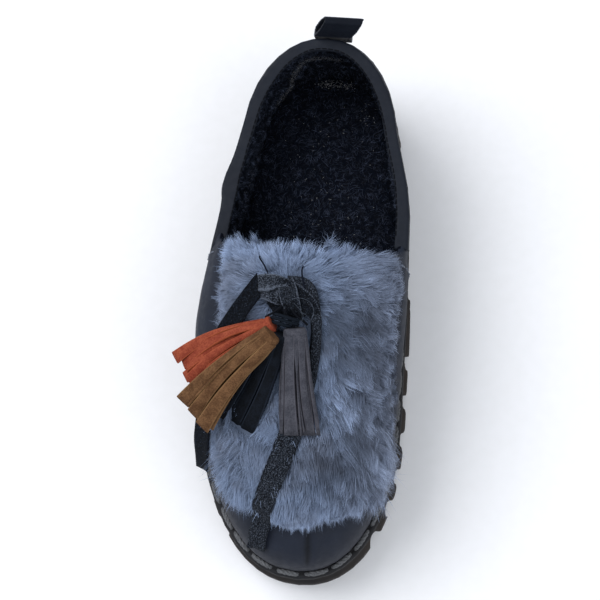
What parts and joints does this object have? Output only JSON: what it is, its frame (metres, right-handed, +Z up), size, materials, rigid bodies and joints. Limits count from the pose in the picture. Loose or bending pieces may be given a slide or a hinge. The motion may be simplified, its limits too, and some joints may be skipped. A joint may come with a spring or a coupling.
{
  "type": "platform loafer",
  "caption": "Slip-on platform loafer for the right foot, with a fur front, a velvet ribbon bow, suede tassels and a lugged sole.",
  "frame": {"origin": "bottom centre of the whole shoe's box, on the floor", "axes": "+Z up, +Y along the shoe towards the heel, +X towards the inner side of the foot"},
  "size_m": [0.1123, 0.264, 0.1168],
  "materials": {
    "rubber": "matte, a little dusty",
    "leather": "matte",
    "plush": "short dense pile",
    "binding": "smooth, satin",
    "fur": "long soft hair",
    "velvet": "short pile with a sheen",
    "suede_grey": "napped",
    "suede_brown": "napped",
    "suede_black": "napped",
    "suede_orange": "napped"
  },
  "bodies": {
    "root": {"outsole": "rubber", "welt": "leather", "insole": "plush", "upper": "leather", "collar_binding": "binding", "pull_loop": "binding", "fur_cover": "fur", "ribbon_bow": "velvet", "tassel_grey": "suede_grey", "tassel_brown": "suede_brown", "tassel_black": "suede_black", "tassel_orange": "suede_orange"}
  },
  "joints": []
}
